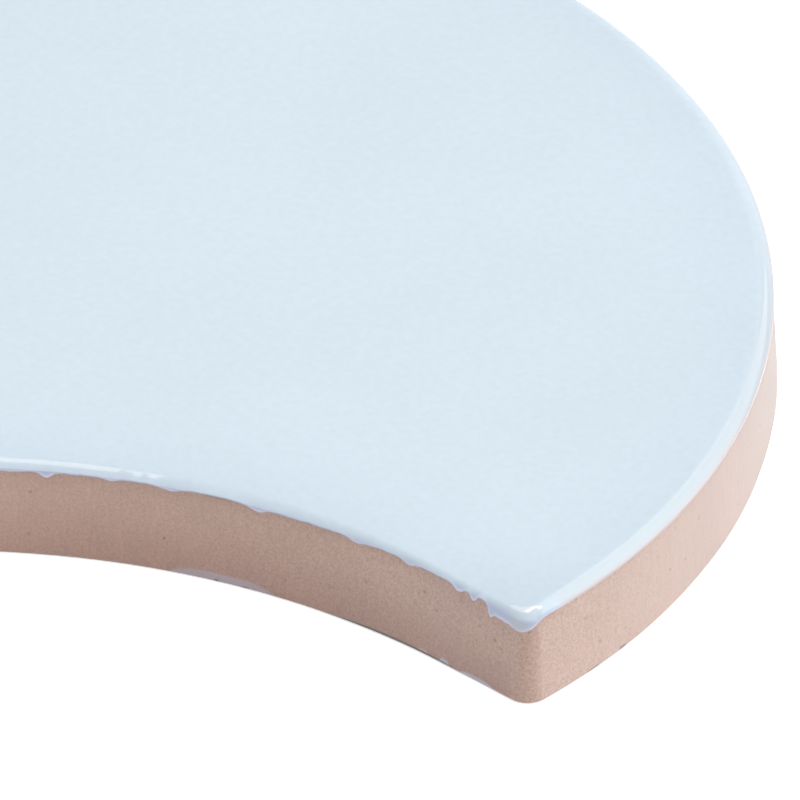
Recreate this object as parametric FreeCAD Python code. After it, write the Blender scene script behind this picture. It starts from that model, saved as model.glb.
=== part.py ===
import FreeCAD, Part
import math
import os

from FreeCAD import Vector

os.makedirs("parts", exist_ok=True)

# A fish scale tile, lying on its back. The origin is the centre of the round head's arc, on the
# back face. +Y points to the top of the head, +Z out of the glazed face. Millimetres.

# Driving sizes of the outline
head_radius = 65.0
grout_joint = 2.0
shoulder_radius = 1.6
shoulder_flat = 10.0
tail_radius = 2.0

# Driving sizes of the fired clay
clay_thickness = 8.9
wall_draft = 0.6
face_arris = 0.2
back_arris = 0.3

# Driving sizes of the key grooves in the back
groove_pitch = 9.0
groove_width = 3.0
groove_depth = 0.6
groove_border = 7.0
groove_shortest = 14.0

# Driving sizes of the glaze
glaze_thickness = 0.6
glaze_proud = 0.2
glaze_edge_radius = 1.2

# Driving sizes of the glaze's lower edge, which waves along the walls and sags at the shoulders
run_below_arris = 0.15
run_wave_height = 0.12
run_wave_length = 13.0
shoulder_sag = 1.1
shoulder_sag_reach = 2.6
run_grid_step = 1.8

# The tiles are laid so that the head of each one fills a flank of its neighbours, one joint away.
flank_radius = head_radius + grout_joint
column_offset = head_radius + grout_joint / 2
row_pitch = head_radius + grout_joint

head_centre = Vector(0, 0, 0)
flank_centre = Vector(column_offset, -row_pitch, 0)
tail_centre = Vector(0, math.sqrt((flank_radius + tail_radius) ** 2 - column_offset ** 2) - row_pitch, 0)


def mirrored(point):
    return Vector(-point.x, point.y, point.z)


def towards(start, end):
    return (end - start).normalize()


# Near the shoulder the flank leaves its arc and runs straight. This is that stretch's outward normal.
flat_turn = shoulder_flat / flank_radius
flat_normal = Vector(math.sin(flat_turn), -math.cos(flat_turn), 0)


def shoulder_place():
    """Centre of the shoulder's small arc, which touches the straight stretch and the head's arc."""
    along = Vector(-flat_normal.y, flat_normal.x, 0)
    start = flank_centre - flat_normal * (flank_radius + shoulder_radius)
    offset = start.dot(along)
    reach = math.sqrt(offset ** 2 - start.dot(start) + (head_radius - shoulder_radius) ** 2) - offset
    return start + along * reach


shoulder_centre = shoulder_place()
to_shoulder = towards(head_centre, shoulder_centre)
shoulder_tip = shoulder_centre + (flat_normal + to_shoulder).normalize() * shoulder_radius


def arc(centre, radius, start, end):
    """Arc about a centre from the direction start to the direction end, the short way round."""
    middle = (start + end).normalize()
    return Part.Arc(centre + start * radius, centre + middle * radius, centre + end * radius).toShape()


def outline(grow, height):
    """Closed outline of the scale at a height, grown outwards by a distance about the same centres."""
    tail_to_flank = towards(tail_centre, flank_centre)
    flat_start = flank_centre - flat_normal * (flank_radius - grow)
    flat_end = shoulder_centre + flat_normal * (shoulder_radius + grow)
    right_side = [
        arc(shoulder_centre, shoulder_radius + grow, flat_normal, to_shoulder),
        Part.LineSegment(flat_start, flat_end).toShape(),
        arc(flank_centre, flank_radius - grow, -tail_to_flank, -flat_normal),
    ]
    left_side = [edge.mirror(head_centre, Vector(1, 0, 0)) for edge in right_side]
    head = arc(head_centre, head_radius + grow, to_shoulder, mirrored(to_shoulder))
    tail = arc(tail_centre, tail_radius + grow, mirrored(tail_to_flank), tail_to_flank)
    wire = Part.Wire(Part.__sortEdges__([head, tail] + right_side + left_side))
    wire.translate(Vector(0, 0, height))
    return wire


def level_edges(solid, height):
    """Edges of a solid that lie in one level plane."""
    slack = 1e-6
    return [
        edge for edge in solid.Edges
        if abs(edge.BoundBox.ZMin - height) < slack and abs(edge.BoundBox.ZMax - height) < slack
    ]


def key_grooves():
    """Straight shallow grooves that key the back to its mortar, kept inside a plain border."""
    field = Part.makeCylinder(head_radius - groove_border, groove_depth, head_centre)
    for centre in (flank_centre, mirrored(flank_centre)):
        field = field.cut(Part.makeCylinder(flank_radius + groove_border, groove_depth, centre))
    rows = int((head_radius - groove_border) / groove_pitch)
    bars = []
    for row in range(-rows, rows):
        corner = Vector(-head_radius, (row + 0.5) * groove_pitch - groove_width / 2, 0)
        bars.append(Part.makeBox(2 * head_radius, groove_width, groove_depth, corner))
    grooves = field.common(Part.makeCompound(bars)).Solids
    return [groove for groove in grooves if groove.BoundBox.XLength > groove_shortest]


def clay_body():
    """Pressed clay: walls that lean out towards the back, bevelled edges and a keyed back."""
    body = Part.makeLoft([outline(wall_draft, 0), outline(0, clay_thickness)], True, True)
    body = body.makeChamfer(face_arris, level_edges(body, clay_thickness))
    body = body.makeChamfer(back_arris, level_edges(body, 0))
    return body.cut(key_grooves())


def run_level(x, y):
    """Height at which the glaze ends on a wall that stands at this place in plan."""
    level = clay_thickness - face_arris - run_below_arris
    phase = 2 * math.pi / run_wave_length
    wave = run_wave_height * math.cos(phase * x) * math.sin(phase * y)
    from_tip = math.hypot(abs(x) - shoulder_tip.x, y - shoulder_tip.y)
    sag = shoulder_sag * math.exp(-((from_tip / shoulder_sag_reach) ** 2))
    return level + wave - sag


def below_run():
    """Everything below the glaze's lower edge: a block over the whole tile with a wavy top."""
    margin = 2 * run_grid_step
    side = head_radius + margin
    bottom = tail_centre.y - tail_radius - margin
    columns = math.ceil(2 * side / run_grid_step)
    rows = math.ceil((side - bottom) / run_grid_step)
    grid = []
    for column in range(columns + 1):
        x = -side + 2 * side * column / columns
        line = [bottom + (side - bottom) * row / rows for row in range(rows + 1)]
        grid.append([Vector(x, y, run_level(x, y)) for y in line])
    wavy_top = Part.BSplineSurface()
    wavy_top.interpolate(grid)
    return wavy_top.toShape().extrude(Vector(0, 0, -clay_thickness))


def glaze_coat(clay):
    """Glassy coat on the face. It rolls over the clay's arris and ends in an uneven lip on the walls."""
    blank_foot = clay_thickness / 2
    top = clay_thickness + glaze_thickness
    coat = Part.Face(outline(glaze_proud, blank_foot)).extrude(Vector(0, 0, top - blank_foot))
    coat = coat.makeFillet(glaze_edge_radius, level_edges(coat, top))
    return coat.cut(below_run()).cut(clay)


clay = clay_body()
glaze = glaze_coat(clay)
for name, shape in {"clay_body": clay, "glaze_coat": glaze}.items():
    print(name, len(shape.Solids), "solid, valid:", shape.isValid(), "volume", round(shape.Volume, 1))
    shape.Solids[0].exportStep("parts/" + name + ".step")
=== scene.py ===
import math
import random

import bpy
import numpy as np
from mathutils import Matrix, Vector, noise
from mathutils.geometry import delaunay_2d_cdt

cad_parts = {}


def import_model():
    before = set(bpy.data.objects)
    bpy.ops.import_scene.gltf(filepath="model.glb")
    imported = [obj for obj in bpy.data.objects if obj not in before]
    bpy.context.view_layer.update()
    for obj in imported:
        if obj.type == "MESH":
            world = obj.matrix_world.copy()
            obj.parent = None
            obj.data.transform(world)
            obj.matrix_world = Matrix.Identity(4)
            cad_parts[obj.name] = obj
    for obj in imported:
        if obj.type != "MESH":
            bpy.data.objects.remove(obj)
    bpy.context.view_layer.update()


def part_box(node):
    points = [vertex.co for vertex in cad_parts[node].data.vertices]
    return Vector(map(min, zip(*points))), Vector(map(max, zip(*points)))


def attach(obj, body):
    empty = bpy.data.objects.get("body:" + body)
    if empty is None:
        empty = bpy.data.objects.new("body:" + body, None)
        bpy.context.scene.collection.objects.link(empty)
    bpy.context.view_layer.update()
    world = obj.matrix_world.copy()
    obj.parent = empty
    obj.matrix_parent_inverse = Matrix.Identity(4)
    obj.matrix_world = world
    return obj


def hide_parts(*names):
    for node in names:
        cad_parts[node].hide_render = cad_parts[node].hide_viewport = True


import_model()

MM = 0.001
SEED = 11

# Sizes of the tile, in metres, as the part has them
HEAD_RADIUS = 65.0 * MM
GROUT_JOINT = 2.0 * MM
SHOULDER_RADIUS = 1.6 * MM
SHOULDER_FLAT = 10.0 * MM
TAIL_RADIUS = 2.0 * MM
WALL_DRAFT = 0.6 * MM
BACK_ARRIS = 0.3 * MM
GROOVE_PITCH = 9.0 * MM
GROOVE_WIDTH = 3.0 * MM
GROOVE_DEPTH = 0.6 * MM
GROOVE_BORDER = 7.0 * MM
GROOVE_SHORTEST = 14.0 * MM

CLAY_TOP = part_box("clay_body")[1].z
GLAZE_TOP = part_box("glaze_coat")[1].z

FLANK_RADIUS = HEAD_RADIUS + GROUT_JOINT
COLUMN_OFFSET = HEAD_RADIUS + GROUT_JOINT / 2
HEAD = np.array([0.0, 0.0])
FLANK = np.array([COLUMN_OFFSET, -FLANK_RADIUS])
TAIL = np.array([0.0, math.sqrt((FLANK_RADIUS + TAIL_RADIUS) ** 2 - COLUMN_OFFSET ** 2) - FLANK_RADIUS])

# Near the shoulder the flank leaves its arc and runs straight. This is that stretch's outward normal.
FLAT_TURN = SHOULDER_FLAT / FLANK_RADIUS
FLAT_NORMAL = np.array([math.sin(FLAT_TURN), -math.cos(FLAT_TURN)])
FLAT_START = FLANK - FLAT_NORMAL * FLANK_RADIUS


def shoulder_place():
    """Centre of the shoulder's small arc, which touches the straight stretch and the head's arc."""
    along = np.array([-FLAT_NORMAL[1], FLAT_NORMAL[0]])
    start = FLAT_START - FLAT_NORMAL * SHOULDER_RADIUS
    offset = start @ along
    reach = math.sqrt(offset ** 2 - start @ start + (HEAD_RADIUS - SHOULDER_RADIUS) ** 2) - offset
    return start + along * reach


SHOULDER = shoulder_place()
FLAT_END = SHOULDER + FLAT_NORMAL * SHOULDER_RADIUS


def heading(start, end):
    return math.atan2(end[1] - start[1], end[0] - start[0])


def arc_run(name, centre, radius, first, last, hollow=False):
    """One arc of the outline: its name, its length, and its points and outward normals by share."""

    def at(share):
        angle = first + (last - first) * share
        ray = np.stack([np.cos(angle), np.sin(angle)], 1)
        return centre + ray * radius, -ray if hollow else ray

    return name, radius * abs(last - first), at


def straight_run(name, start, end):
    """One straight stretch of the outline, in the same form as an arc."""
    along = (end - start) / np.linalg.norm(end - start)
    normal = np.array([along[1], -along[0]])

    def at(share):
        return start + (end - start) * share[:, None], np.repeat(normal[None], len(share), 0)

    return name, np.linalg.norm(end - start), at


def outline_runs():
    """The right half of the outline, counter-clockwise from the tail's tip."""
    return [
        arc_run("tail", TAIL, TAIL_RADIUS, -math.pi / 2, heading(TAIL, FLANK)),
        arc_run("flank", FLANK, FLANK_RADIUS, heading(FLANK, TAIL), heading(FLANK, FLAT_START), True),
        straight_run("flank", FLAT_START, FLAT_END),
        arc_run(
            "shoulder", SHOULDER, SHOULDER_RADIUS, heading(SHOULDER, FLAT_END), heading(HEAD, SHOULDER)
        ),
        arc_run("head", HEAD, HEAD_RADIUS, heading(HEAD, SHOULDER), math.pi / 2),
    ]


def smoothed(values, sweeps):
    """Values round a closed ring, each evened out with its neighbours."""
    for sweep in range(sweeps):
        values = (np.roll(values, 1, 0) + values * 2 + np.roll(values, -1, 0)) / 4
    return values


# How evenly the directions in which the glaze rolls inwards turn round the shoulders, and how far
# towards the head from the outline's own turn they do so
INWARD_SWEEPS = 800
INWARD_LATE = 1.0 * MM


class Outline:
    """Points round the outline with their outward normals, the directions in which the glaze rolls
    inwards, and their distance past the middle of either shoulder towards the head."""

    def __init__(self, step):
        half = []
        gone = 0.0
        for name, length, at in outline_runs():
            count = math.ceil(length / (step if length > SHOULDER_FLAT else step / 2))
            share = (np.arange(count) + 0.5) / count
            point, normal = at(share)
            half.append((point, normal, np.full(count, name), gone + length * share))
            gone += length
        point, normal, name, travelled = (np.concatenate(part) for part in zip(*half))
        mirror = np.array([-1.0, 1.0])
        self.point = np.concatenate([point, point[::-1] * mirror])
        self.normal = np.concatenate([normal, normal[::-1] * mirror])
        self.name = np.concatenate([name, name[::-1]])
        self.count = len(self.point)
        middle = travelled[name == "shoulder"].mean()
        own = travelled - middle
        other = np.where(travelled < gone / 2, -travelled, 2 * gone - travelled) - middle
        self.from_right = np.concatenate([own, other[::-1]])
        self.from_left = np.concatenate([other, own[::-1]])
        index = np.arange(self.count)
        late = int(round(INWARD_LATE / step))
        source = np.where(index < len(point), index - late, index + late) % self.count
        gentle = smoothed(self.normal[source], INWARD_SWEEPS)
        self.inward = -gentle / np.linalg.norm(gentle, axis=1)[:, None]

    def ring(self, grow, height, inward=0.0):
        """A closed ring of points at a height, grown outwards and then drawn inwards."""
        out = np.empty((self.count, 3))
        out[:, :2] = self.point + self.normal * np.broadcast_to(grow, self.count)[:, None]
        out[:, :2] += self.inward * np.broadcast_to(inward, self.count)[:, None]
        out[:, 2] = height
        return out


HOLLOW_SWEEPS = 20


def hollow_share(outline):
    """How much each point is on a flank or the tail and not on the head, from 0 to 1."""
    return smoothed(np.isin(outline.name, ("flank", "tail")).astype(float), HOLLOW_SWEEPS)


def smooth_step(low, high, value):
    t = np.clip((value - low) / (high - low), 0.0, 1.0)
    return t * t * (3 - 2 * t)


def ripple(points, scale, seed):
    """Smooth noise from -1 to 1 at each point, with features about 1 / scale long."""
    shift = Vector((seed * 7.3, seed * 3.1, seed * 5.7))
    return np.array([noise.noise(Vector(p) * scale + shift) for p in points])


def make_mesh(name, vertices, faces):
    mesh = bpy.data.meshes.new(name)
    mesh.from_pydata([tuple(v) for v in vertices], [], faces)
    mesh.validate()
    mesh.update()
    mesh.shade_smooth()
    piece = bpy.data.objects.new(name, mesh)
    bpy.context.scene.collection.objects.link(piece)
    return piece


def ring_faces(count, rings):
    """Quads between rings that were stored one after the other, each with the same number of points."""
    faces = []
    for row in range(rings - 1):
        low = row * count
        for i in range(count):
            j = (i + 1) % count
            faces.append((low + i, low + j, low + count + j, low + count + i))
    return faces


def float_attribute(piece, name, values):
    layer = piece.data.attributes.new(name, "FLOAT", "POINT")
    layer.data.foreach_set("value", np.asarray(values, np.float32))


# Clay body

# Radius of its upper edge, along the sides and at the shoulders
FACE_ARRIS = 0.15 * MM
SHOULDER_ARRIS = 0.7 * MM

# Spacing of points round the outline, rings up the wall and round an arris, and how far in from
# the outline the flat back and top start
WALL_STEP = 0.29 * MM
WALL_ROWS = 32
ARRIS_ROWS = 5
CAP_INSET = 1.4 * MM

# Relief of the wall: slow waves, fine lines dragged up it, and small pits
WAVE_HEIGHT = 0.035 * MM
WAVE_LENGTH = 7 * MM
DRAG_HEIGHT = 0.010 * MM
DRAG_WIDTH = 0.55 * MM
DRAG_STRETCH = 0.06
PIT_DEPTH = 0.05 * MM
PIT_SIZE = 0.8 * MM


def wall_relief(points):
    """How far the clay stands out of its true wall at each point: waves, drag lines and pits."""
    waves = WAVE_HEIGHT * ripple(points, 1 / WAVE_LENGTH, 1)
    drag = points * [1, 1, DRAG_STRETCH]
    lines = DRAG_HEIGHT * ripple(drag, 1 / DRAG_WIDTH, 2)
    pits = -PIT_DEPTH * smooth_step(0.50, 0.75, ripple(points, 1 / PIT_SIZE, 3))
    return waves + lines + pits


def clay_rows(arris):
    """Section of the clay's edge from the back to the face. Each row is how far the outline grows,
    the height, and how much of the relief shows."""
    rows = [(WALL_DRAFT - CAP_INSET, 0.0, 0.0)]
    for i in range(ARRIS_ROWS):
        turn = math.pi / 2 * i / ARRIS_ROWS
        grow = WALL_DRAFT - BACK_ARRIS * (1 - math.sin(turn))
        rows.append((grow, BACK_ARRIS * (1 - math.cos(turn)), math.sin(turn)))
    for i in range(WALL_ROWS):
        height = BACK_ARRIS + (CLAY_TOP - arris - BACK_ARRIS) * i / WALL_ROWS
        rows.append((WALL_DRAFT * (1 - height / CLAY_TOP), height, 1.0))
    for i in range(ARRIS_ROWS + 1):
        turn = math.pi / 2 * i / ARRIS_ROWS
        height = CLAY_TOP - arris * (1 - math.sin(turn))
        rows.append((-arris * (1 - math.cos(turn)), height, 1.0 - i / ARRIS_ROWS))
    rows.append((-CAP_INSET, CLAY_TOP, 0.0))
    return rows


def clay_piece():
    """The clay body's mesh, with masks for its wall and its hollow flanks."""
    outline = Outline(WALL_STEP)
    rows = clay_rows(FACE_ARRIS + (SHOULDER_ARRIS - FACE_ARRIS) * shoulder_share(outline))
    rings, wall = [], []
    for grow, height, share in rows:
        flat = outline.ring(grow, height)
        if share > 0:
            flat = outline.ring(grow + share * wall_relief(flat), height)
        rings.append(flat)
        wall.append(np.full(outline.count, float(share > 0)))
    vertices = np.vstack(rings)
    faces = ring_faces(outline.count, len(rings))
    last = outline.count * (len(rings) - 1)
    faces.append(tuple(range(outline.count - 1, -1, -1)))
    faces.append(tuple(range(last, last + outline.count)))
    piece = make_mesh("tile_body", vertices, faces)
    float_attribute(piece, "wall", np.concatenate(wall))
    float_attribute(piece, "flank", np.concatenate([hollow_share(outline)] * len(rings)))
    cut_grooves(piece)
    return piece


def groove_edges(low_y, high_y):
    """Half the length of a groove between its round ends, at its lower and upper side."""
    ends = []
    for y in (low_y, high_y):
        in_head = math.sqrt(max(0.0, (HEAD_RADIUS - GROOVE_BORDER) ** 2 - y * y))
        rise = y + FLANK_RADIUS
        reach = (FLANK_RADIUS + GROOVE_BORDER) ** 2 - rise * rise
        in_flank = COLUMN_OFFSET - math.sqrt(reach) if reach > 0 else in_head
        ends.append(min(in_head, in_flank))
    return ends


def cut_grooves(piece):
    """Cuts the shallow key grooves into the back."""
    rows = int((HEAD_RADIUS - GROOVE_BORDER) / GROOVE_PITCH)
    vertices, faces = [], []
    for row in range(-rows, rows):
        low_y = (row + 0.5) * GROOVE_PITCH - GROOVE_WIDTH / 2
        high_y = low_y + GROOVE_WIDTH
        low_half, high_half = groove_edges(low_y, high_y)
        if 2 * max(low_half, high_half) < GROOVE_SHORTEST:
            continue
        first = len(vertices)
        for z in (-GROOVE_DEPTH, GROOVE_DEPTH):
            vertices += [(-low_half, low_y, z), (low_half, low_y, z)]
            vertices += [(high_half, high_y, z), (-high_half, high_y, z)]
        for quad in ((3, 2, 1, 0), (4, 5, 6, 7), (0, 1, 5, 4), (1, 2, 6, 5), (2, 3, 7, 6), (3, 0, 4, 7)):
            faces.append(tuple(first + i for i in quad))
    cutter = make_mesh("groove_cutter", vertices, faces)
    cut = piece.modifiers.new("grooves", "BOOLEAN")
    cut.operation = "DIFFERENCE"
    cut.solver = "EXACT"
    cut.object = cutter
    apply_modifiers(piece)
    bpy.data.objects.remove(cutter)


def apply_modifiers(piece):
    """Gives a piece the mesh that its modifiers make, and takes them off."""
    bpy.context.view_layer.update()
    baked = bpy.data.meshes.new_from_object(piece.evaluated_get(bpy.context.evaluated_depsgraph_get()))
    old = piece.data
    piece.modifiers.clear()
    piece.data = baked
    bpy.data.meshes.remove(old)


# Glaze coat

# Height of its lower edge, how thick it is on the wall, and how much thicker in a drip
HEAD_RUN = 8.70 * MM
FLANK_RUN = 8.88 * MM
HEAD_FILM = 0.08 * MM
FLANK_FILM = 0.14 * MM
DRIP_SWELL = 0.35

# How far the roll reaches in over the face, how deep it falls, the small arc that ends it on the
# wall, and the rounded underside of the lip
HEAD_ROUND = 1.6 * MM
FLANK_ROUND = 1.25 * MM
CORNER_ROUND = 1.65 * MM
HEAD_FALL = 0.6 * MM
FLANK_FALL = 0.58 * MM
CORNER_FALL = 1.05 * MM
SIDE_BLEND = 0.1 * MM
CORNER_BLEND = 0.6 * MM
HEAD_LOBE = 0.04 * MM
FLANK_LOBE = 0.13 * MM

# The roll is tighter and the film fuller where a flank nears its shoulder
NEAR_ROUND = 0.7 * MM
NEAR_STRETCH = (8 * MM, 32 * MM)
NEAR_FILM = 0.3 * MM
NEAR_LIFT = 0.21 * MM
NEAR_FILM_STRETCH = (5 * MM, 13 * MM)

# Where the shoulder's rounder roll is centred, and how far it reaches to either side
CORNER_SHIFT = 1.4 * MM
CORNER_REACH_HEAD = 2.0 * MM
CORNER_REACH_FLANK = 2.7 * MM

# Rings of the section: the lip's underside, the side, the small arc and the roll. The side evens
# out on its way up.
LIP_RINGS = 6
SIDE_RINGS = 4
BLEND_RINGS = 3
ROLL_RINGS = 16
SIDE_SWEEPS = 300

# How far the coat's hidden edges lie inside the clay, below its top and within its wall
TUCK_DOWN = 0.05 * MM
TUCK_IN = 0.06 * MM

# Tilts in degrees over which the surface counts as steep and as part of the bead
STEEP = (30.0, 75.0)
BEAD_EDGE = (8.0, 16.0)

# The face: spacing of its points, its slow waves, and how far inside the outline they fade in
FACE_GRID = 1.3 * MM
FACE_WAVE = 0.02 * MM
FACE_WAVE_LENGTH = 11 * MM
FACE_WAVE_FADE = (2.0 * MM, 7.0 * MM)

# Waves of the lower edge: slow ones all round, and quick ones on the flanks
SLOW_LENGTH = 9 * MM
HEAD_SLOW = 0.04 * MM
FLANK_SLOW = 0.08 * MM
QUICK_LENGTH = 1.6 * MM
QUICKEST_LENGTH = 0.6 * MM
QUICK_HEIGHT = 0.08 * MM

# Drips on the right flank: distance from the shoulder's middle, half width, and drop below the edge
RIGHT_DRIPS = (
    (3.75 * MM, 0.33 * MM, 0.75 * MM),
    (5.75 * MM, 0.40 * MM, 0.60 * MM),
    (7.5 * MM, 0.65 * MM, 0.45 * MM),
    (13.2 * MM, 0.8 * MM, 0.30 * MM),
    (18.8 * MM, 0.8 * MM, 0.28 * MM),
    (28.6 * MM, 0.9 * MM, 0.38 * MM),
    (36.9 * MM, 1.2 * MM, 0.28 * MM),
    (42.2 * MM, 0.9 * MM, 0.30 * MM),
    (47.9 * MM, 0.6 * MM, 0.50 * MM),
    (52.0 * MM, 5.0 * MM, 0.18 * MM),
)

# Drips on the left flank, in mm: how many, and the ranges of their spacing, half width and drop
LEFT_DRIPS = 12
LEFT_SPACING = (3.5, 9.0)
LEFT_HALF = (0.5, 1.0)
LEFT_DROP = (0.2, 0.7)

# A drip this deep has the lip's colour in full
FULL_DROP = 0.5 * MM

# Where the glaze has pooled at a shoulder: a broad flat lip on the flank's side and a small drop in it
LIP_CENTRE = 1.6 * MM
LIP_HALF = 2.35 * MM
LIP_DROP = 1.0 * MM
LIP_SHARE = 0.7
POOL_CENTRE = 0.85 * MM
POOL_HALF = 0.75 * MM
POOL_DROP = 0.28 * MM


def shoulder_share(outline):
    """How much of the rounded shoulder each point is, from 0 to 1."""
    share = np.zeros(outline.count)
    for along in (outline.from_right - CORNER_SHIFT, outline.from_left - CORNER_SHIFT):
        reach = np.where(along > 0, CORNER_REACH_HEAD, CORNER_REACH_FLANK)
        share = np.maximum(share, np.exp(-(along / reach) ** 2))
    return share


def past_shoulder(outline):
    """Distance of each point on a flank from its shoulder's middle, 0 on the head."""
    return -np.maximum(np.minimum(outline.from_right, 0.0), np.minimum(outline.from_left, 0.0))


def near_share(outline, hollow):
    """How much each point lies on a flank near its shoulder, where the glaze has gathered."""
    return hollow * (1 - smooth_step(*NEAR_FILM_STRETCH, past_shoulder(outline)))


def run_line(outline, hollow):
    """Height of the glaze's lower edge round the tile, and how much of a drip each point is."""
    points = outline.ring(0.0, 0.0)
    slow = ripple(points, 1 / SLOW_LENGTH, 4)
    quick = ripple(points, 1 / QUICK_LENGTH, 5) + 0.6 * ripple(points, 1 / QUICKEST_LENGTH, 7)
    height = HEAD_RUN + (FLANK_RUN - HEAD_RUN) * hollow
    height = height + (HEAD_SLOW + (FLANK_SLOW - HEAD_SLOW) * hollow) * slow + QUICK_HEIGHT * quick * hollow
    height = height + NEAR_LIFT * near_share(outline, hollow)
    drips = [(outline.from_right + place, half, drop) for place, half, drop in RIGHT_DRIPS]
    draw = random.Random(SEED)
    for place in np.cumsum([draw.uniform(*LEFT_SPACING) for i in range(LEFT_DRIPS)]) * MM:
        half = draw.uniform(*LEFT_HALF) * MM
        drips.append((outline.from_left + place, half, draw.uniform(*LEFT_DROP) * MM))
    drip = np.zeros(outline.count)
    for distance, half, drop in drips:
        bump = np.exp(-(distance / half) ** 2)
        height = height - drop * bump
        drip = np.maximum(drip, bump * min(1.0, drop / FULL_DROP))
    for distance in (outline.from_right, outline.from_left):
        lip = np.exp(-((distance + LIP_CENTRE) / LIP_HALF) ** 6)
        pool = np.exp(-((distance + POOL_CENTRE) / POOL_HALF) ** 2)
        height = height - LIP_DROP * lip - POOL_DROP * pool
        drip = np.maximum(drip, LIP_SHARE * lip)
    return height, drip


def glaze_rows(outline):
    """Rings of the glaze from its hidden underside round the lip to the face, with their masks."""
    hollow = hollow_share(outline)
    run, drip = run_line(outline, hollow)
    corner = shoulder_share(outline)
    widened = smooth_step(*NEAR_STRETCH, past_shoulder(outline))
    flank_extent = NEAR_ROUND + (FLANK_ROUND - NEAR_ROUND) * widened
    extent = HEAD_ROUND + (flank_extent - HEAD_ROUND) * hollow
    extent = extent + (CORNER_ROUND - extent) * corner
    fall = HEAD_FALL + (FLANK_FALL - HEAD_FALL) * hollow
    fall = fall + (CORNER_FALL - fall) * corner
    film = (HEAD_FILM + (FLANK_FILM - HEAD_FILM) * hollow) * (1 + DRIP_SWELL * drip)
    film = film + NEAR_FILM * near_share(outline, hollow)
    wall = WALL_DRAFT * (1 - run / CLAY_TOP)
    side_foot = run + HEAD_LOBE + (FLANK_LOBE - HEAD_LOBE) * np.maximum(hollow, corner)
    side_top = np.maximum(GLAZE_TOP - fall, side_foot + 0.02 * MM)
    fall = np.maximum(GLAZE_TOP - side_top, SIDE_BLEND + 0.1 * MM)
    side_top = GLAZE_TOP - fall
    # The roll is one arc from level to its steepest, and a small arc turns that down into the side.
    blend = np.minimum(SIDE_BLEND + (CORNER_BLEND - SIDE_BLEND) * corner, fall * 0.6)
    steepest = 2 * np.arctan((fall - blend) / (extent - blend))
    radius = (extent - blend) / np.sin(steepest) + blend
    side = wall + film
    even_side = smoothed(side, SIDE_SWEEPS)
    rings, rise, steep, bead = [], [], [], []

    def add(height, grow, inward=0.0, tilt=math.pi / 2):
        rings.append(outline.ring(grow, height, inward))
        rise.append((height - run) / MM)
        steep.append(np.broadcast_to(smooth_step(*STEEP, np.degrees(tilt)), outline.count))
        bead.append(np.broadcast_to(smooth_step(*BEAD_EDGE, np.degrees(tilt)), outline.count))

    add(CLAY_TOP - TUCK_DOWN, -CAP_INSET)
    add(run, wall - TUCK_IN)
    for i in range(1, LIP_RINGS + 1):
        turn = math.pi / 2 * i / LIP_RINGS
        add(run + (side_foot - run) * (1 - math.cos(turn)), wall + film * math.sin(turn))
    for i in range(1, SIDE_RINGS + 1):
        height = side_foot + (side_top - side_foot) * i / SIDE_RINGS
        add(height, side + (even_side - side) * i / SIDE_RINGS)
    for i in range(1, BLEND_RINGS + 1):
        tilt = math.pi / 2 + (steepest - math.pi / 2) * i / BLEND_RINGS
        add(side_top + blend * np.cos(tilt), even_side, blend * (1 - np.sin(tilt)), tilt)
    for i in range(1, ROLL_RINGS + 1):
        tilt = steepest * (1 - i / ROLL_RINGS)
        add(GLAZE_TOP - radius * (1 - np.cos(tilt)), even_side, extent - radius * np.sin(tilt), tilt)
    flank = np.maximum(hollow, corner)
    return rings, {"rise": rise, "steep": steep, "bead": bead, "flank": flank, "drip": drip}


def face_height(points):
    """The face's slow waves, which die out towards its edge."""
    waves = -FACE_WAVE * (0.5 + 0.5 * ripple(points, 1 / FACE_WAVE_LENGTH, 6))
    return waves * smooth_step(*FACE_WAVE_FADE, inside_depth(points))


def glaze_piece():
    """The glaze coat's mesh: its rings, and a face of triangles inside the last one."""
    outline = Outline(WALL_STEP)
    rings, masks = glaze_rows(outline)
    count = outline.count
    vertices = np.vstack(rings)
    faces = ring_faces(count, len(rings))
    faces.append(tuple(range(count - 1, -1, -1)))
    first_edge = count * (len(rings) - 1)
    flat = [Vector(p[:2]) for p in rings[-1]] + [Vector(p) for p in face_grid()]
    border = [(i, (i + 1) % count) for i in range(count)]
    made = delaunay_2d_cdt(flat, border, [], 1, 1e-9)
    inner = []
    index = {}
    for new, sources in enumerate(made[3]):
        if sources and sources[0] < count:
            index[new] = first_edge + sources[0]
        else:
            index[new] = len(vertices) + len(inner)
            inner.append((made[0][new].x, made[0][new].y, GLAZE_TOP))
    inner = np.array(inner)
    inner[:, 2] += face_height(inner)
    for triangle in made[2]:
        faces.append(tuple(index[i] for i in triangle))
    vertices = np.vstack([vertices, inner])
    piece = make_mesh("tile_glaze", vertices, faces)
    for name, values in masks.items():
        if len(values) == count:
            values = [values] * len(rings)
        spare = np.ones(len(inner)) if name == "rise" else np.zeros(len(inner))
        float_attribute(piece, name, np.concatenate(list(values) + [spare]))
    float_attribute(piece, "edge_darkening", edge_dark_share(vertices))
    return piece


def inside_depth(points):
    """Distance of each plan point inside the outline, to its arcs and straight stretches."""
    x = abs(points[:, 0])
    y = points[:, 1]
    to_head = HEAD_RADIUS - np.hypot(x, y)
    to_arc = np.hypot(x - FLANK[0], y - FLANK[1]) - FLANK_RADIUS
    to_flat = (FLAT_START[0] - x) * FLAT_NORMAL[0] + (FLAT_START[1] - y) * FLAT_NORMAL[1]
    return np.minimum(to_head, np.where(x > FLAT_START[0], to_flat, to_arc))


# How much darker the glaze is at the tile's edge, more so along a flank and at a shoulder, and how
# far each reaches
DARK_EDGE = 0.04
DARK_FLANK = 0.02
DARK_SHOULDER = 0.04
EDGE_REACH = 7 * MM
FLANK_REACH = 3.5 * MM
SHOULDER_REACH = 6 * MM


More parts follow.
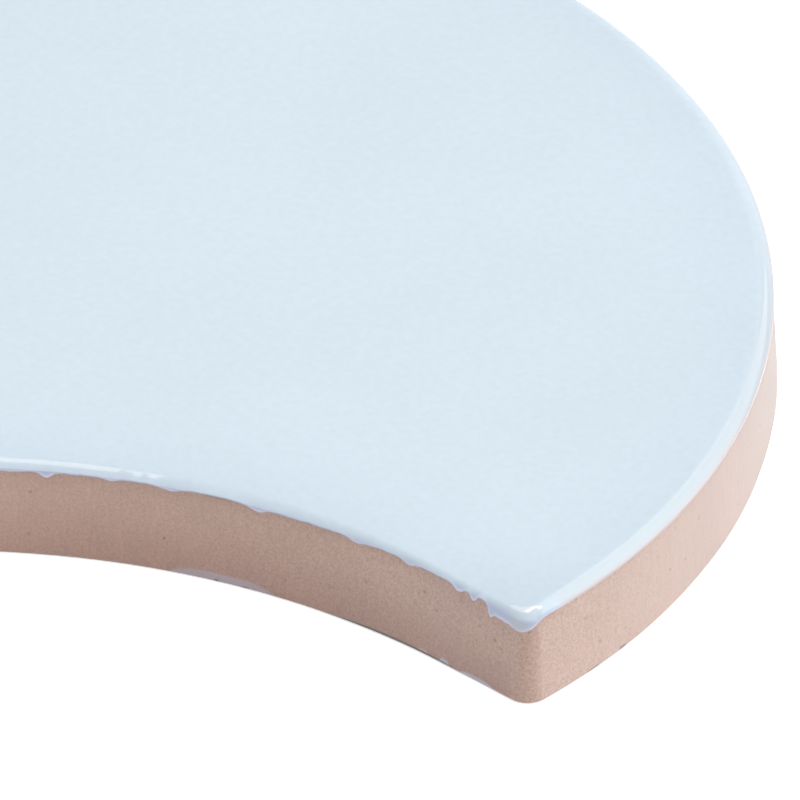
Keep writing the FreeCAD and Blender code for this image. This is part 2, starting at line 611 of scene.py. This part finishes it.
def edge_dark_share(points):
    """How much darker the glaze is towards the tile's edge and its shoulders."""
    x = abs(points[:, 0])
    inside = np.maximum(inside_depth(points), 0.0)
    off_head = HEAD_RADIUS - np.hypot(x, points[:, 1])
    on_flank = smooth_step(0.0, 4.0 * MM, off_head - inside + 1.5 * MM)
    off_shoulder = np.hypot(x - SHOULDER[0], points[:, 1] - SHOULDER[1])
    edge = np.exp(-inside / EDGE_REACH)
    flank = np.exp(-(inside / FLANK_REACH) ** 2) * on_flank
    shoulder = np.exp(-(off_shoulder / SHOULDER_REACH) ** 2)
    return DARK_EDGE * edge + DARK_FLANK * flank + DARK_SHOULDER * shoulder


def face_grid():
    """Staggered grid of points over the face, a little inside the rolled edge."""
    rows = []
    y = TAIL[1]
    while y < HEAD_RADIUS:
        x = np.arange(-HEAD_RADIUS, HEAD_RADIUS, FACE_GRID) + (len(rows) % 2) * FACE_GRID / 2
        rows.append(np.stack([x, np.full_like(x, y)], 1))
        y += FACE_GRID * math.sqrt(3) / 2
    points = np.vstack(rows)
    return points[inside_depth(points) > HEAD_ROUND + 0.6 * FACE_GRID]


# Materials

class Nodes:
    """A material's node tree with short calls for the nodes used here."""

    def __init__(self, name):
        self.material = bpy.data.materials.new(name)
        self.material.use_nodes = True
        self.tree = self.material.node_tree
        self.shader = self.tree.nodes["Principled BSDF"]
        self.place = self.tree.nodes.new("ShaderNodeTexCoord").outputs["Object"]

    def link(self, source, socket):
        """Joins an output to a socket, or sets a number or a colour on it."""
        if isinstance(source, (int, float)):
            socket.default_value = source
        elif isinstance(source, tuple):
            opaque = len(source) == 3 and len(socket.default_value) == 4
            socket.default_value = source + (1.0,) if opaque else source
        else:
            self.tree.links.new(source, socket)

    def attribute(self, name):
        node = self.tree.nodes.new("ShaderNodeAttribute")
        node.attribute_name = name
        return node.outputs["Fac"]

    def scaled(self, scale):
        node = self.tree.nodes.new("ShaderNodeMapping")
        node.inputs["Scale"].default_value = scale
        self.link(self.place, node.inputs["Vector"])
        return node.outputs["Vector"]

    def noise(self, size, detail=2.0, roughness=0.5, stretch=(1, 1, 1)):
        node = self.tree.nodes.new("ShaderNodeTexNoise")
        node.inputs["Scale"].default_value = 1.0
        node.inputs["Detail"].default_value = detail
        node.inputs["Roughness"].default_value = roughness
        self.link(self.scaled(tuple(s / size for s in stretch)), node.inputs["Vector"])
        return node.outputs["Fac"]

    def cells(self, size):
        node = self.tree.nodes.new("ShaderNodeTexVoronoi")
        node.inputs["Scale"].default_value = 1.0
        self.link(self.scaled((1 / size, 1 / size, 1 / size)), node.inputs["Vector"])
        return node.outputs["Distance"], node.outputs["Color"]

    def math(self, operation, a, b=0.0):
        node = self.tree.nodes.new("ShaderNodeMath")
        node.operation = operation
        self.link(a, node.inputs[0])
        self.link(b, node.inputs[1])
        return node.outputs[0]

    def remap(self, value, low, high, to_low=0.0, to_high=1.0):
        node = self.tree.nodes.new("ShaderNodeMapRange")
        node.interpolation_type = "SMOOTHSTEP"
        self.link(value, node.inputs["Value"])
        limits = {"From Min": low, "From Max": high, "To Min": to_low, "To Max": to_high}
        for name, number in limits.items():
            node.inputs[name].default_value = number
        return node.outputs["Result"]

    def mix(self, share, a, b, blend="MIX"):
        node = self.tree.nodes.new("ShaderNodeMix")
        node.data_type = "RGBA"
        node.blend_type = blend
        self.link(share, node.inputs["Factor"])
        self.link(a, node.inputs["A"])
        self.link(b, node.inputs["B"])
        return node.outputs["Result"]

    def split(self):
        """The place's three coordinates."""
        node = self.tree.nodes.new("ShaderNodeSeparateXYZ")
        self.link(self.place, node.inputs[0])
        return tuple(node.outputs)

    def spots(self, size, inner, outer, rarest, commonest):
        """Small round spots in some of the cells: how much each point is in one."""
        distance, draw = self.cells(size)
        near = self.remap(distance, inner, outer, 1.0, 0.0)
        return self.math("MULTIPLY", near, self.remap(draw, rarest, commonest))

    def tone(self, colour, value, low, high):
        """A colour made darker or lighter by a value from 0 to 1."""
        return self.scale(colour, self.remap(value, 0.0, 1.0, low, high))

    def scale(self, colour, factor):
        node = self.tree.nodes.new("ShaderNodeVectorMath")
        node.operation = "SCALE"
        self.link(colour, node.inputs[0])
        self.link(factor, node.inputs["Scale"])
        return node.outputs["Vector"]

    def bump(self, height, strength, distance, below=None):
        node = self.tree.nodes.new("ShaderNodeBump")
        node.inputs["Strength"].default_value = strength
        node.inputs["Distance"].default_value = distance
        self.link(height, node.inputs["Height"])
        if below is not None:
            self.link(below, node.inputs["Normal"])
        return node.outputs["Normal"]


# Colours of the clay and of the marks on it
CLAY = (0.56, 0.338, 0.254)
CLAY_DEEP = (0.425, 0.212, 0.150)
CLAY_PALE = (0.72, 0.52, 0.43)
CLAY_PORE = (0.20, 0.12, 0.09)
GRAIN_DARK = (0.82, 0.70, 0.62)
GRAIN_LIGHT = (1.18, 1.30, 1.38)
SMEAR = (0.47, 0.42, 0.50)
SMEAR_BLUE = (0.58, 0.63, 0.78)
DARK_MARK = (0.0, 0.0, 0.0)

# Marks low on the wall, smears and then dark marks: middle, half length, height, colour and
# strength. On the right flank the middle is measured along X, on the head along Y.
FLANK_MARKS = (
    (34.7 * MM, 4.7 * MM, 1.0 * MM, SMEAR, 0.75),
    (53.8 * MM, 0.8 * MM, 0.62 * MM, CLAY_PALE, 0.8),
    (56.1 * MM, 0.65 * MM, 0.75 * MM, SMEAR_BLUE, 0.8),
    (59.7 * MM, 2.2 * MM, 0.58 * MM, SMEAR_BLUE, 0.75),
    (51.3 * MM, 8.0 * MM, 0.42 * MM, DARK_MARK, 1.0),
    (34.2 * MM, 0.25 * MM, 0.36 * MM, DARK_MARK, 0.85),
    (36.6 * MM, 0.35 * MM, 0.32 * MM, DARK_MARK, 0.85),
)
HEAD_MARKS = (
    (12.1 * MM, 0.6 * MM, 0.48 * MM, DARK_MARK, 0.9),
    (8.2 * MM, 1.1 * MM, 0.34 * MM, DARK_MARK, 0.9),
)


def mark_share(n, along, height, middle, half, top, strength):
    """Share of one mark, a low arch that stands on the bottom edge."""
    across = n.math("DIVIDE", n.math("SUBTRACT", along, middle), half)
    arch = n.math("SUBTRACT", 1.0, n.math("POWER", n.math("ABSOLUTE", across), 4.0))
    over = n.math("SUBTRACT", n.math("DIVIDE", height, top), arch)
    return n.remap(over, -0.25, 0.1, strength, 0.0)


def clay_material():
    n = Nodes("fired_clay")
    x, y, z = n.split()
    wall = n.attribute("wall")
    flank = n.attribute("flank")
    grain = n.noise(0.24 * MM, 3.0, 0.7)
    patch = n.noise(6 * MM, 2.0)
    lines = n.noise(0.3 * MM, 2.0, 0.6, (1, 1, 0.08))
    on_flank = n.math("MULTIPLY", flank, wall)
    on_head = n.math("MULTIPLY", n.remap(x, 30 * MM, 50 * MM), n.math("SUBTRACT", wall, on_flank))
    # A flank deepens in colour towards its foot, most of all near the right shoulder.
    low = n.math("MULTIPLY", n.remap(z, 0.0, 7.5 * MM, 1.0, 0.0), on_flank)
    low = n.math("MULTIPLY", low, n.remap(x, -10 * MM, 55 * MM, 0.6, 1.0))
    colour = n.mix(low, CLAY, CLAY_DEEP)
    colour = n.tone(colour, patch, 0.94, 1.06)
    # The grain stands out most at the right shoulder and least along the head.
    coarse_x = n.remap(x, 15 * MM, 62 * MM, 0.55, 1.0)
    coarse = n.math("MULTIPLY", coarse_x, n.remap(y, 2 * MM, 26 * MM, 1.0, 0.3))
    swing = n.math("SUBTRACT", n.remap(grain, 0.28, 0.72), 0.5)
    shade = n.math("ADD", n.math("MULTIPLY", swing, coarse), 0.5)
    colour = n.mix(1.0, colour, n.mix(shade, GRAIN_DARK, GRAIN_LIGHT), "MULTIPLY")
    colour = n.tone(colour, lines, 0.93, 1.07)
    pore = n.spots(1.3 * MM, 0.11, 0.17, 0.66, 0.68)
    colour = n.mix(n.math("MULTIPLY", pore, 0.9), colour, CLAY_PORE)
    speck = n.spots(0.5 * MM, 0.10, 0.24, 0.5, 0.7)
    colour = n.mix(n.math("MULTIPLY", speck, 0.25), colour, CLAY_PORE)
    fleck = n.spots(1.3 * MM, 0.06, 0.13, 0.72, 0.74)
    colour = n.mix(n.math("MULTIPLY", fleck, 0.4), colour, CLAY_PALE)
    for marks, along, where in ((FLANK_MARKS, x, on_flank), (HEAD_MARKS, y, on_head)):
        for middle, half, top, paint, strength in marks:
            share = n.math("MULTIPLY", mark_share(n, along, z, middle, half, top, strength), where)
            colour = n.mix(share, colour, paint)
    n.link(colour, n.shader.inputs["Base Color"])
    n.shader.inputs["Roughness"].default_value = 0.5
    n.shader.inputs["Sheen Weight"].default_value = 1.0
    n.shader.inputs["Sheen Roughness"].default_value = 0.65
    relief = n.bump(lines, 0.3, 0.03 * MM)
    relief = n.bump(grain, 0.4, 0.05 * MM, relief)
    n.link(relief, n.shader.inputs["Normal"])
    return n.material


# Colours of the glaze: the face, what it tends towards near the tile's edge, the bead round the head
# darkened as painted shade, the roll and the lip on a flank, and then on the head
GLAZE = (0.658, 0.772, 0.852)
GLAZE_EDGE_DARK = (0.0, 0.0, 0.25)
BEAD_SHADE = (0.605, 0.69, 0.745)
BEAD_SHADE_FAR = (0.555, 0.63, 0.69)
GLAZE_WALL = (0.545, 0.63, 0.83)
GLAZE_LIP = (0.79, 0.77, 1.0)
GLAZE_SIDE = (0.635, 0.655, 0.70)
GLAZE_RIM = (0.66, 0.60, 0.63)


def glaze_material():
    n = Nodes("pale_blue_glaze")
    rise = n.attribute("rise")
    steep = n.attribute("steep")
    flank = n.attribute("flank")
    head = n.math("SUBTRACT", 1.0, flank)
    mottle = n.noise(0.8 * MM, 3.0, 0.6)
    cloud = n.noise(16 * MM, 2.0)
    colour = n.tone(GLAZE, mottle, 0.965, 1.035)
    colour = n.tone(colour, cloud, 0.98, 1.02)
    # The glaze darkens towards the tile's edge and its shoulders.
    colour = n.mix(n.attribute("edge_darkening"), colour, GLAZE_EDGE_DARK)
    # Painted shade: the bead round the head is a little darker than the face, darker still further up the
    # head, and fades out towards the head's top.
    y = n.split()[1]
    bead_shade_colour = n.mix(n.remap(y, 10 * MM, 38 * MM), BEAD_SHADE, BEAD_SHADE_FAR)
    bead_shade_colour = n.mix(n.remap(y, 42 * MM, 58 * MM), bead_shade_colour, colour)
    colour = n.mix(n.math("MULTIPLY", n.attribute("bead"), head), colour, bead_shade_colour)
    colour = n.mix(steep, colour, n.mix(flank, GLAZE_SIDE, GLAZE_WALL))
    # The lip is a pinkish grey on the head and lavender on a flank, mostly in the drips.
    lip_colour = n.mix(flank, GLAZE_RIM, GLAZE_LIP)
    marked = n.math("MAXIMUM", head, n.remap(n.attribute("drip"), 0.0, 0.8, 0.15, 1.0))
    lip = n.math("MULTIPLY", n.remap(rise, 0.18, 0.55, 0.85, 0.0), marked)
    colour = n.mix(lip, colour, lip_colour)
    n.link(colour, n.shader.inputs["Base Color"])
    n.shader.inputs["Roughness"].default_value = 0.05
    n.shader.inputs["IOR"].default_value = 1.5
    relief = n.bump(n.noise(3 * MM, 1.0), 0.25, 0.01 * MM)
    n.link(relief, n.shader.inputs["Normal"])
    return n.material


# Stage, lights and camera

FLOOR_HALF = 3.0
FLOOR_LEVEL = -0.02 * MM
FLOOR_COLOUR = 0.8
FLOOR_GLOW = 0.65
WORLD_LIGHT = 0.42


def stage():
    """A white floor. The camera and reflections see it lit up to white, but for the tile's shadow."""
    signs = ((-1, -1), (1, -1), (1, 1), (-1, 1))
    corners = [(x * FLOOR_HALF, y * FLOOR_HALF, FLOOR_LEVEL) for x, y in signs]
    floor = make_mesh("floor", corners, [(0, 1, 2, 3)])
    n = Nodes("floor_white")
    tree = n.tree
    tree.nodes.remove(n.shader)
    bounce = tree.nodes.new("ShaderNodeBsdfDiffuse")
    bounce.inputs["Color"].default_value = (FLOOR_COLOUR, FLOOR_COLOUR, FLOOR_COLOUR, 1)
    glow = tree.nodes.new("ShaderNodeEmission")
    seen = tree.nodes.new("ShaderNodeLightPath")
    plain = n.math("MAXIMUM", seen.outputs["Is Camera Ray"], seen.outputs["Is Glossy Ray"])
    n.link(n.math("MULTIPLY", plain, FLOOR_GLOW), glow.inputs["Strength"])
    both = tree.nodes.new("ShaderNodeAddShader")
    n.link(bounce.outputs[0], both.inputs[0])
    n.link(glow.outputs[0], both.inputs[1])
    n.link(both.outputs[0], tree.nodes["Material Output"].inputs["Surface"])
    floor.data.materials.append(n.material)


def world():
    """White for the camera and reflections, and a softer light on everything."""
    made = bpy.data.worlds.new("studio")
    bpy.context.scene.world = made
    made.use_nodes = True
    tree = made.node_tree
    back = tree.nodes["Background"]
    seen = tree.nodes.new("ShaderNodeLightPath")
    plain = tree.nodes.new("ShaderNodeMath")
    plain.operation = "MAXIMUM"
    tree.links.new(seen.outputs["Is Camera Ray"], plain.inputs[0])
    tree.links.new(seen.outputs["Is Glossy Ray"], plain.inputs[1])
    strength = tree.nodes.new("ShaderNodeMapRange")
    strength.inputs["To Min"].default_value = WORLD_LIGHT
    strength.inputs["To Max"].default_value = 1.0
    tree.links.new(plain.outputs[0], strength.inputs["Value"])
    tree.links.new(strength.outputs["Result"], back.inputs["Strength"])
    back.inputs["Color"].default_value = (1, 1, 1, 1)


LAMP_TARGET = Vector((30 * MM, 0.0, GLAZE_TOP))
WARM = (1.0, 0.84, 0.80)


def softbox(name, azimuth, elevation, distance, width, height, power, part, tint=(1.0, 1.0, 1.0)):
    """Rectangular lamp that faces the tile and gives one part of its light, diffuse or gloss. Its
    place is an azimuth and elevation in degrees and a distance in metres."""
    lamp = bpy.data.lights.new(name, "AREA")
    lamp.shape = "RECTANGLE"
    lamp.size = width
    lamp.size_y = height
    lamp.energy = power
    lamp.color = tint
    holder = bpy.data.objects.new(name, lamp)
    bpy.context.scene.collection.objects.link(holder)
    a, e = math.radians(azimuth), math.radians(elevation)
    ray = Vector((math.cos(e) * math.cos(a), math.cos(e) * math.sin(a), math.sin(e)))
    holder.location = LAMP_TARGET + ray * distance
    holder.rotation_mode = "QUATERNION"
    holder.rotation_quaternion = ray.to_track_quat("Z", "Y")
    holder.visible_diffuse = part == "diffuse"
    holder.visible_glossy = part == "gloss"


# The camera at the photograph's viewing angle, in degrees. The head's radius is as wide in pixels
# as it would be square on to the camera at the target's distance.
VIEW_HEADING = 138.44
VIEW_DIP = 36.82
VIEW_ROLL = 0.78
VIEW_TARGET = Vector((24.505 * MM, 21.145 * MM, 0.0))
VIEW_DISTANCE = 1950 * MM
HEAD_RADIUS_PIXELS = 733.0
FRAME_PIXELS = 800
SENSOR = 36.0


def camera():
    data = bpy.data.cameras.new("camera")
    holder = bpy.data.objects.new("camera", data)
    bpy.context.scene.collection.objects.link(holder)
    yaw, dip, roll = (math.radians(angle) for angle in (VIEW_HEADING, VIEW_DIP, VIEW_ROLL))
    ahead = Vector((math.cos(dip) * math.cos(yaw), math.cos(dip) * math.sin(yaw), -math.sin(dip)))
    right = Vector((math.sin(yaw), -math.cos(yaw), 0.0))
    up = right.cross(ahead)
    turned_right = right * math.cos(roll) + up * math.sin(roll)
    turned_up = up * math.cos(roll) - right * math.sin(roll)
    turn = Matrix((turned_right, turned_up, -ahead)).transposed().to_4x4()
    holder.matrix_world = Matrix.Translation(VIEW_TARGET - ahead * VIEW_DISTANCE) @ turn
    data.sensor_width = SENSOR
    data.lens = SENSOR * VIEW_DISTANCE * HEAD_RADIUS_PIXELS / HEAD_RADIUS / FRAME_PIXELS
    data.clip_start = 0.1
    data.clip_end = 20.0
    bpy.context.scene.camera = holder


body = clay_piece()
body.data.materials.clear()
body.data.materials.append(clay_material())
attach(body, "root")
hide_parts("clay_body")

coat = glaze_piece()
coat.data.materials.append(glaze_material())
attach(coat, "root")
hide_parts("glaze_coat")

stage()
world()
softbox("overhead", 0, 89, 1.0, 0.48, 0.38, 4.5, "diffuse")
softbox("key", 48, 25, 1.5, 1.4, 1.0, 12, "diffuse")
# The glaze's highlights, along its rolled edge and at the right shoulder
softbox("skylight", 127, 75, 1.0, 0.41, 0.54, 2.2, "gloss", WARM)
softbox("spark", 110, 74.5, 0.97, 0.17, 0.48, 2.0, "gloss", WARM)
softbox("window", 88, 46.5, 1.5, 1.33, 1.15, 8.2, "gloss")
camera()

bpy.context.scene.view_settings.view_transform = "Standard"
